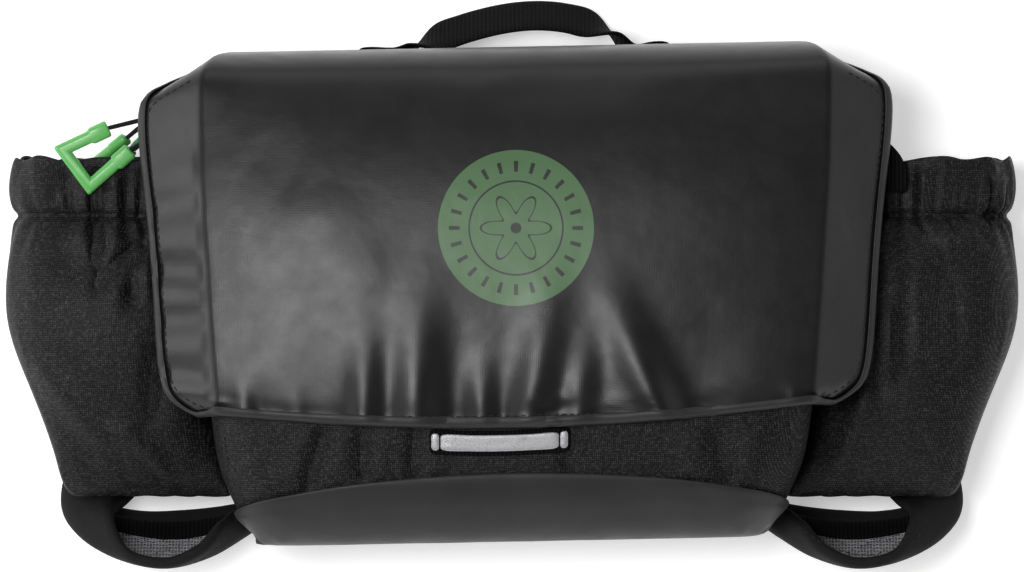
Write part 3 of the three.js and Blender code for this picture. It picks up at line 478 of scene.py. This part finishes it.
def lay(find, path, spacing):
    """Points at even spacing along a path of X and Y, laid on a surface, each with its normal."""
    path = np.array(path)
    lengths = np.hypot(*np.diff(path, axis=0).T)
    total = np.concatenate([[0], np.cumsum(lengths)])
    count = max(2, int(total[-1] / spacing))
    laid = []
    for at in np.linspace(0, total[-1], count + 1):
        x = float(np.interp(at, total, path[:, 0]))
        y = float(np.interp(at, total, path[:, 1]))
        point, normal = find(x, y)
        if point is not None:
            laid.append((point, normal))
    return laid


STITCH_SIDES = 6
# Rings of a stitch: place along its length, and share of its radius.
STITCH_RINGS = ((-0.5, 0.25), (-0.3, 0.9), (0.3, 0.9), (0.5, 0.25))
SHORTEST_STEP = 0.2 * MM


def add_stitches(bm, laid, length=2.4 * MM, radius=0.24 * MM):
    """Short raised threads between neighbouring laid points, with a small gap between them."""
    for (a, na), (b, _) in zip(laid, laid[1:]):
        along = b - a
        if along.length < SHORTEST_STEP or along.length > 3 * length:
            continue
        middle = (a + b) / 2 + na * radius * 0.5
        along.normalize()
        side = along.cross(na).normalized()
        rings = []
        for at, swell in STITCH_RINGS:
            centre = middle + along * (at * length) - na * (radius * (1 - swell) * 0.9)
            ring = []
            for k in range(STITCH_SIDES):
                turn = 2 * math.pi * k / STITCH_SIDES
                out = side * math.cos(turn) + na * math.sin(turn)
                ring.append(bm.verts.new(centre + out * radius * swell))
            rings.append(ring)
        for low, high in zip(rings, rings[1:]):
            for k in range(STITCH_SIDES):
                after = (k + 1) % STITCH_SIDES
                bm.faces.new((low[k], low[after], high[after], high[k]))
        bm.faces.new(rings[0][::-1])
        bm.faces.new(rings[-1])


def stitches(name, lines, find, slot="coated_cloth", spacing=3.3 * MM, **size):
    """One piece of stitches along several lines of X and Y."""
    bm = bmesh.new()
    for line in lines:
        add_stitches(bm, lay(find, line, spacing), **size)
    finish_piece(object_from(bm, name), "thread", slot)


# Flap and its tape. A row of a fold table gives its start and end in pixels of the photograph, and
# then its width and height in millimetres.

HEM_FOLDS = [
    ((238, 372), (246, 424), 3.6, 1.1),
    ((258, 372), (262, 424), 3.6, -0.7),
    ((290, 372), (298, 424), 4.5, 0.8),
    ((320, 300), (326, 424), 12, -0.7),
    ((368, 300), (362, 428), 6.5, 1.8),
    ((388, 300), (386, 428), 6, -1.0),
    ((424, 250), (416, 430), 9, 2.7),
    ((455, 290), (456, 430), 8, -1.4),
    ((480, 350), (482, 430), 5.5, 1.4),
    ((500, 350), (502, 430), 4.5, -0.9),
    ((560, 270), (522, 430), 8, 2.0),
    ((572, 290), (550, 430), 7, -1.5),
    ((592, 290), (578, 430), 6.5, 1.8),
    ((588, 250), (668, 424), 8, 2.6),
    ((620, 250), (700, 420), 10, -1.4),
    ((793, 380), (796, 412), 2.4, 1.0),
]
FLAP_FOLDS = [
    ((300, 200), (380, 290), 16, 0.9),
    ((250, 150), (300, 180), 12, -0.5),
    ((300, 60), (460, 64), 9, 0.9),
    ((480, 96), (640, 84), 10, -0.7),
    ((640, 62), (800, 60), 9, 0.8),
    ((850, 130), (880, 150), 7, 0.6),
    ((845, 230), (872, 222), 8, -0.6),
    ((836, 300), (866, 312), 8, 0.6),
]
EAR_FOLDS = [
    ((130, 190), (230, 158), 8.0, 1.2),
    ((130, 212), (230, 196), 6.0, -1.3),
    ((130, 246), (230, 232), 8.0, 1.5),
    ((130, 266), (230, 274), 6.0, -1.9),
    ((130, 294), (230, 300), 6.5, 1.7),
    ((130, 326), (230, 312), 5.0, -1.3),
    ((130, 348), (230, 340), 7.0, 1.4),
    ((130, 368), (230, 378), 5.0, -1.4),
    ((130, 396), (230, 394), 5.0, 0.9),
]
CREASE_TOP = (195, 62)  # pixels of the left crease's upper end
CREASE_SLOPE = 0.05
EAR_FADE = 4 * MM  # width over which the ear's folds fade out at its crease
FLAP_FADE = (0.03, 0.06)


def flap_folds(points):
    """Heights of the folds of the flap and its tape, gathered at the hem and across the left ear."""
    x, y = points[:, 0], points[:, 1]
    top_x, top_y = place(*CREASE_TOP)
    crease = top_x + (top_y - y) * CREASE_SLOPE
    on_ear = 1 - step(-EAR_FADE, 0, x - crease)
    folds = ridges(x, y, FLAP_FOLDS) + ridges(x, y, HEM_FOLDS, to_edge=True)
    return folds + ridges(x, y, EAR_FOLDS) * on_ear


def folds_of(table):
    """Heights of a table's folds as a function of points."""
    return lambda points: ridges(points[:, 0], points[:, 1], table)


flap = softened("flap", "flap_cloth", 3, creased=True)
fold(flap, flap_folds, FLAP_FADE)
finish_piece(flap, "flap", "coated_cloth", "flap")

binding = softened("flap_binding", "flap_edge", 2, creased=True)
fold(binding, flap_folds)
finish_piece(binding, "edge", "binding_tape", "flap_binding")

# Compartment, base and back

BODY_FOLDS = [
    ((304, 432), (290, 490), 4.5, 0.8),
    ((328, 424), (306, 494), 3.4, -2.5),
    ((344, 434), (334, 482), 4.0, 0.7),
    ((366, 420), (364, 484), 3.6, -2.5),
    ((382, 436), (378, 480), 4.0, 0.7),
    ((418, 420), (415, 484), 3.6, -2.4),
    ((434, 440), (432, 478), 4.0, 0.6),
    ((564, 450), (574, 484), 3.0, -1.4),
    ((690, 430), (700, 480), 6.0, 0.9),
    ((716, 426), (733, 488), 4.4, -2.2),
    ((750, 430), (756, 480), 5.0, 0.8),
    ((219, 420), (226, 470), 0.9, 0.9),
    ((223, 450), (234, 506), 0.9, 0.9),
    ((789, 416), (796, 490), 0.9, 0.9),
]
BODY_FADE = (0.05, 0.07)
# The part of the compartment's front that shows its folds, in metres.
HEM_LEVEL = -0.052
BASE_LEVEL = -0.09
HALF_FRONT = 0.115
LOWEST_FRONT = 0.06


def refine(obj, cuts, inside):
    """Cuts the faces for which inside is true into smaller ones."""
    bm = bmesh.new()
    bm.from_mesh(obj.data)
    edges = list({edge for face in bm.faces if inside(face) for edge in face.edges})
    bmesh.ops.subdivide_edges(bm, edges=edges, cuts=cuts, use_grid_fill=True)
    bm.to_mesh(obj.data)
    bm.free()


def below_hem(face):
    """True on the front of the compartment, between the hem and the base panel."""
    at = face.calc_center_median()
    in_front = face.normal.z > 0.5 and at.z > LOWEST_FRONT
    return in_front and BASE_LEVEL < at.y < HEM_LEVEL and abs(at.x) < HALF_FRONT


body = softened("body_shell", "body_cloth", 3)
refine(body, 2, below_hem)
fold(body, folds_of(BODY_FOLDS), BODY_FADE)
finish_piece(body, "ripstop", "ripstop", "body_shell")

base = softened("base_panel", "base_cloth", 2)
finish_piece(base, "base", "coated_cloth", "base_panel")

BACK_ROUNDING = 1.2 * MM
back = moulding("back_panel", "back_pad", BACK_ROUNDING)
finish_piece(back, "back", "back_mesh", "back_panel")

# Pockets

POCKET_FOLDS = [
    ((94, 172), (96, 268), 2.8, -4.6),
    ((80, 180), (82, 250), 4.5, 2.0),
    ((112, 176), (110, 246), 4.0, 2.0),
    ((62, 168), (76, 226), 4.0, -1.6),
    ((92, 288), (144, 242), 2.8, -4.6),
    ((104, 300), (154, 260), 4.5, 2.4),
    ((54, 250), (84, 276), 6.0, -1.6),
    ((132, 258), (130, 300), 3.6, -3.0),
    ((146, 262), (146, 300), 3.6, 1.4),
    ((20, 345), (120, 464), 5.0, 2.4),
    ((12, 368), (104, 486), 5.0, -1.8),
    ((110, 428), (170, 486), 5.0, 3.0),
    ((106, 446), (150, 494), 5.6, -3.0),
    ((160, 340), (150, 430), 6.0, -2.0),
    ((926, 168), (922, 222), 3.5, 2.8),
    ((914, 215), (962, 246), 3.6, 3.0),
    ((916, 240), (920, 386), 7.0, 3.0),
    ((946, 262), (950, 380), 8.0, -2.2),
    ((990, 168), (988, 240), 2.8, -4.2),
    ((1003, 176), (1006, 226), 3.5, 2.0),
    ((960, 180), (962, 230), 4.0, -2.0),
    ((872, 386), (838, 476), 5.5, 3.0),
    ((886, 300), (882, 400), 5.0, -2.6),
]
GATHER_ROW = 216  # the pixel row where the elastic draws the mouth together
PLEATS = 26
PLEAT_HEIGHT = 0.75 * MM
PLEATS_ABOVE = 16 * MM  # how far the pleats reach over the elastic
PLEATS_BELOW = 11 * MM
GROOVE_DEPTH = 1.3 * MM
GROOVE_WIDTH = 1.7 * MM
SEWN_SIDE = 0.32  # from this share of its width on, a pocket has no pleats
SEAM_PULL = 1.8 * MM  # how far the seam draws a pocket's lower part to the compartment
SEAM_START = (0.36, 0.46)  # shares of the pocket's width over which that grows
SEAM_LEVELS = (-0.05, 0.02)  # Y over which it fades out upwards
POCKET_FADE = (0.02, 0.035)


def gathered(obj, side):
    """Draws a pocket together along its elastic: pleats round it, and a groove at its stitches."""
    points = vectors_of(obj.data)
    (x0, _, z0), (x1, _, z1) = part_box("pocket_" + side)
    dx = (points[:, 0] - (x0 + x1) / 2) / (x1 - x0)
    dz = (points[:, 2] - (z0 + z1) / 2) / (z1 - z0)
    turn = np.arctan2(dz, dx)
    level = place(0, GATHER_ROW)[1]
    above = points[:, 1] - level
    pleats = np.sin(PLEATS * turn + 2.2 * np.sin(3 * turn) + 1.4 * np.sin(5 * turn + 1))
    reach = np.where(above > 0, PLEATS_ABOVE, PLEATS_BELOW)
    groove = GROOVE_DEPTH * np.exp(-((above / GROOVE_WIDTH) ** 2))
    lift = PLEAT_HEIGHT * pleats * np.exp(-((above / reach) ** 2)) - groove
    towards_body = dx if side == "left" else -dx
    lift = np.where(towards_body > SEWN_SIDE, 0.0, lift)
    points[:, 0] += lift * np.cos(turn)
    points[:, 2] += lift * np.sin(turn)
    sewn = SEAM_PULL * step(*SEAM_START, towards_body) * (1 - step(*SEAM_LEVELS, points[:, 1]))
    points[:, 0] += sewn if side == "left" else -sewn
    move_to(obj, points)


for side in ("left", "right"):
    pocket = softened("pocket_" + side, "pocket_cloth_" + side, 3)
    gathered(pocket, side)
    fold(pocket, folds_of(POCKET_FOLDS), POCKET_FADE)
    finish_piece(pocket, "pocket", "ripstop", "pocket_" + side)

# Handle, light loop, zip pulls, wings and belt

PULL_SWELL = 0.5 * MM  # the real pulls' bars are a little thicker than the solids'
EDGE_ROUNDING = 0.45 * MM
wings = []
# Node, material, slot, and how often it is smoothed: 0 for a moulded piece.
for node, material, slot, levels in (
    ("handle", "webbing", "webbing", 2),
    ("light_loop", "webbing", "webbing", 2),
    ("reflective_stripe", "film", "reflective", 2),
    ("stripe_end_left", "film", "reflective", 2),
    ("stripe_end_right", "film", "reflective", 2),
    ("zip_slider_a", "black", "black_plastic", 0),
    ("zip_slider_b", "black", "black_plastic", 0),
    ("zip_pull_a", "green", "green_plastic", 0),
    ("zip_pull_b", "green", "green_plastic", 0),
    ("zip_cord_a", "cord", "green_cord", 2),
    ("zip_cord_b", "cord", "green_cord", 2),
    # the sleeve's darker green is painted shade
    ("cord_sleeve", "shaded_sleeve", "green_cord", 1),
    ("pocket_tab", "webbing", "webbing", 2),
    ("buckle", "black", "black_plastic", 0),
    ("belt_strap_left", "webbing", "webbing", 2),
    ("belt_strap_right", "webbing", "webbing", 2),
    ("wing_left", "wing", "wing_cloth", 2),
    ("wing_right", "wing", "wing_cloth", 2),
    ("wing_liner_left", "liner", "liner_mesh", 2),
    ("wing_liner_right", "liner", "liner_mesh", 2),
    ("wing_strap_left", "webbing", "webbing", 2),
    ("wing_strap_right", "webbing", "webbing", 2),
):
    if levels:
        piece = softened(node, node + "_soft", levels)
    else:
        piece = moulding(node, node + "_moulded", EDGE_ROUNDING)
    if node.startswith("zip_pull"):
        out = vectors_of(piece.data, "normal")
        move_to(piece, vectors_of(piece.data) + out * PULL_SWELL)
    finish_piece(piece, material, slot, node)
    if node.startswith("wing_"):
        wings.append(piece)

# Stitching

SEAM_INSET = 3.6 * MM
SEAM_REACH = 0.25  # farther than the flap reaches from its core
SEAM_ARC = (152, 388)  # degrees, from ear to ear round the hem
SEAM_POINTS = 160
HALVINGS = 14


def edge_at(find, start, towards, reach):
    """Where a surface ends on the way from a point in a direction, found by halving."""
    inside, outside = 0.0, reach
    for _ in range(HALVINGS):
        middle = (inside + outside) / 2
        point, _ = find(start[0] + towards[0] * middle, start[1] + towards[1] * middle)
        if point is None:
            outside = middle
        else:
            inside = middle
    seam = inside - SEAM_INSET
    return start[0] + towards[0] * seam, start[1] + towards[1] * seam


on_flap = surface_under(flap)
core = place(512, 250)
seam = []
for turn in np.radians(np.linspace(*SEAM_ARC, SEAM_POINTS)):
    seam.append(edge_at(on_flap, core, (math.cos(turn), math.sin(turn)), SEAM_REACH))
stitches("flap_stitches", [seam], on_flap, radius=0.3 * MM)

body_seams = [
    [place(223, 436), place(228, 468), place(237, 500)],
    [place(786, 430), place(790, 460), place(793, 486)],
]
fine = {"spacing": 2.6 * MM, "length": 1.9 * MM}
stitches("seam_stitches", body_seams, surface_under(body), slot="ripstop", **fine)

wing_seams = [
    [(101, 516), (105, 541), (117, 558), (136, 568)],
    [(190, 566), (206, 558), (218, 546), (230, 528), (240, 512)],
    [
        (768, 500), (792, 521), (822, 544), (848, 555),
        (874, 558), (900, 550), (912, 534), (910, 512),
    ],
    [(930, 510), (928, 530), (912, 546)],
]
wing_seams = [[place(*at) for at in line] for line in wing_seams]
stitches("wing_stitches", wing_seams, surface_under(*wings), slot="wing_cloth")

# Studio

FLOOR = 15
WHITE = (1, 1, 1, 1)
corners = [(-FLOOR, -FLOOR, 0), (FLOOR, -FLOOR, 0), (FLOOR, FLOOR, 0), (-FLOOR, FLOOR, 0)]
floor_mesh = bpy.data.meshes.new("floor")
floor_mesh.from_pydata(corners, [], [(0, 1, 2, 3)])
floor = new_object("floor", floor_mesh)
floor_look = bpy.data.materials.new("floor")
floor_look.use_nodes = True
for socket, value in (
    ("Base Color", (0.8, 0.8, 0.8, 1)),
    ("Emission Color", WHITE),
    ("Emission Strength", 0.4),
    ("Roughness", 0.9),
):
    floor_look.node_tree.nodes["Principled BSDF"].inputs[socket].default_value = value
floor_mesh.materials.append(floor_look)

# The sky is white near the horizon and dark overhead, so the cloth that faces the camera stays dark.
world = bpy.data.worlds.new("studio")
bpy.context.scene.world = world
world.use_nodes = True
sky = world.node_tree
direction = sky.nodes.new("ShaderNodeTexCoord")
split = sky.nodes.new("ShaderNodeSeparateXYZ")
shade = sky.nodes.new("ShaderNodeMapRange")
sky.links.new(direction.outputs["Generated"], split.inputs[0])
sky.links.new(split.outputs["Z"], shade.inputs["Value"])
shade.interpolation_type = "SMOOTHSTEP"
for socket, value in (("From Min", 0.2), ("From Max", 0.6), ("To Min", 1.0), ("To Max", 0.05)):
    shade.inputs[socket].default_value = value
sky.links.new(shade.outputs["Result"], sky.nodes["Background"].inputs["Strength"])
sky.nodes["Background"].inputs["Color"].default_value = WHITE


def softbox(name, bearing, tilt, power, distance=2.4, size=(1.6, 1.2)):
    """An area light: bearing from +X and tilt from the vertical in degrees, and power in watts."""
    data = bpy.data.lights.new(name, "AREA")
    data.shape = "RECTANGLE"
    data.size, data.size_y = size
    data.energy = power
    light = new_object(name, data)
    turn, lean = math.radians(bearing), math.radians(tilt)
    at = Vector((math.sin(lean) * math.cos(turn), math.sin(lean) * math.sin(turn), math.cos(lean)))
    light.location = at * distance
    light.rotation_euler = at.to_track_quat("Z", "Y").to_euler()
    light.visible_camera = False


softbox("side_left", 180, 58, 19)
softbox("low_left", 176, 82, 9, distance=2.0, size=(1.2, 0.5))
softbox("side_right", 0, 60, 5)
softbox("side_top", 90, 60, 10)
softbox("side_bottom", 270, 60, 14)
softbox("sheen", 160, 13.5, 46, distance=2.6, size=(0.72, 0.85))  # on the flap's left half

CAMERA_DISTANCE = 8.0  # from the flap's front, where a pixel is as wide as PIXEL says
FLAP_LEVEL = 0.09
PHOTO_WIDTH = 1024
PHOTO_MIDDLE = 286  # pixel row
SENSOR = 36
camera_data = bpy.data.cameras.new("camera")
camera_data.sensor_width = SENSOR
camera_data.lens = SENSOR * CAMERA_DISTANCE / (PHOTO_WIDTH * PIXEL)
camera_data.clip_end = 20
camera = new_object("camera", camera_data)
camera.location = (0, (ORIGIN[1] - PHOTO_MIDDLE) * PIXEL, CAMERA_DISTANCE + FLAP_LEVEL)
bpy.context.scene.camera = camera
bpy.context.scene.view_settings.view_transform = "Standard"
